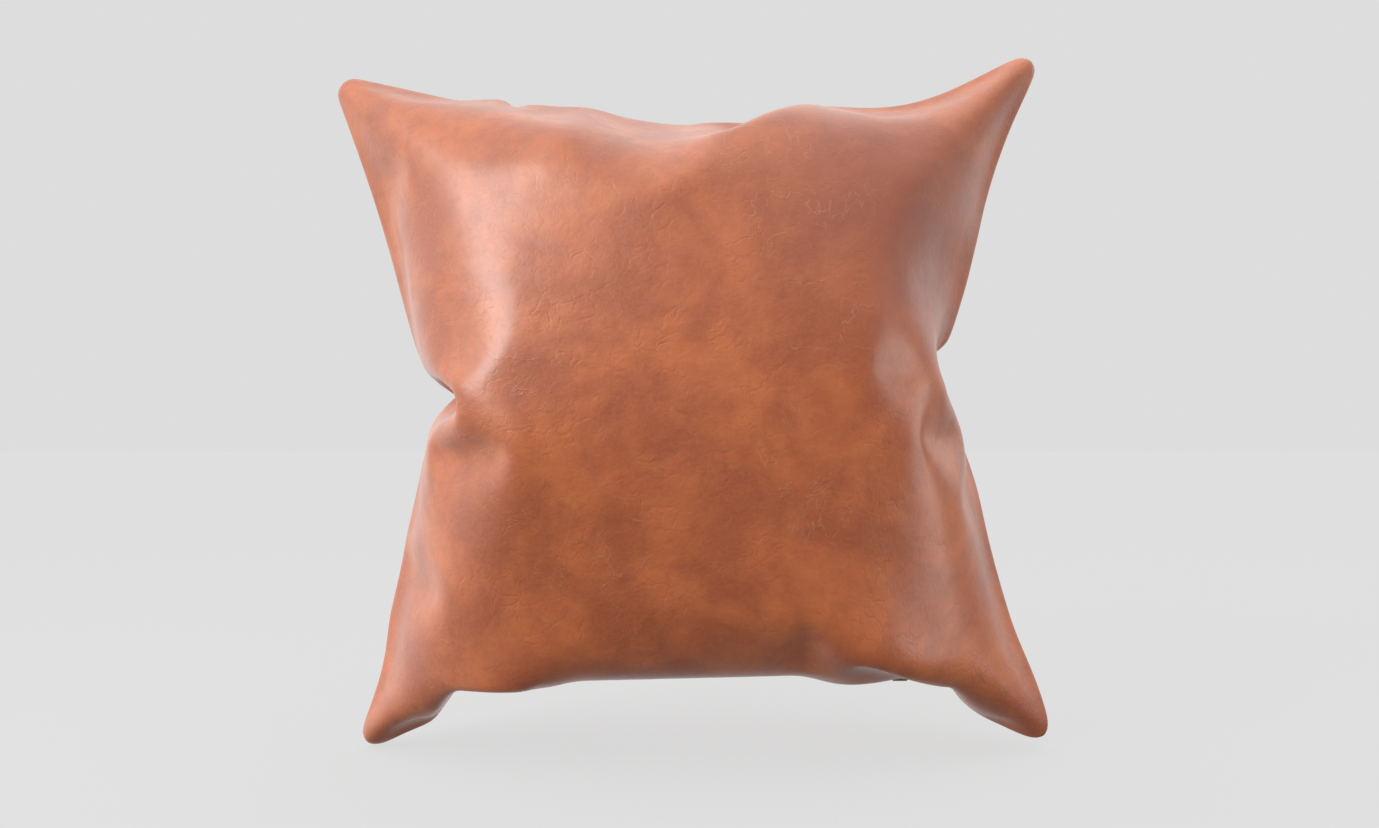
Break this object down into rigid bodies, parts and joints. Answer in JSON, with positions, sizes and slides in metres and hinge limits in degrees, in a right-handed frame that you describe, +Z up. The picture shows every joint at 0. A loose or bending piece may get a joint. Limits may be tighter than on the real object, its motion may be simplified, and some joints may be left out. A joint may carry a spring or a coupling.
{
  "type": "throw pillow",
  "caption": "Square leather throw pillow with drawn-in sides, pointed corners and a filled insert behind a bottom zip.",
  "frame": {"origin": "middle of the overall box, on the surface that the two lower corners rest on", "axes": "+Z up, +X along the width to the viewer's right, -Y out of the front panel; the seam lies in the XZ plane"},
  "size_m": [0.4856, 0.242, 0.4683],
  "materials": {
    "leather": "satin",
    "insert_case": "matte",
    "insert_fill": "matte",
    "zip_tape": "matte",
    "zip_metal": "satin"
  },
  "bodies": {
    "pillow": {"cover_front": "leather", "cover_back": "leather", "insert_case_front": "insert_case", "insert_case_back": "insert_case", "insert_fill": "insert_fill", "zip_tape_front": "zip_tape", "zip_tape_back": "zip_tape", "zip_teeth_front": "zip_metal", "zip_teeth_back": "zip_metal", "zip_top_stop_front": "zip_metal", "zip_top_stop_back": "zip_metal", "zip_bottom_stop": "zip_metal"},
    "slider": {"zip_slider": "zip_metal"},
    "pull": {"zip_pull": "zip_metal"}
  },
  "joints": [
    {"name": "zip_slide", "type": "slide", "parent": "pillow", "child": "slider", "axis": [1, 0, 0], "range_m": [-0.2675, 0]},
    {"name": "pull_swing", "type": "hinge", "parent": "slider", "child": "pull", "pos_m": [0.1435, 0, 0.0466], "axis": [0, -1, 0], "range_deg": [0, 180]}
  ]
}
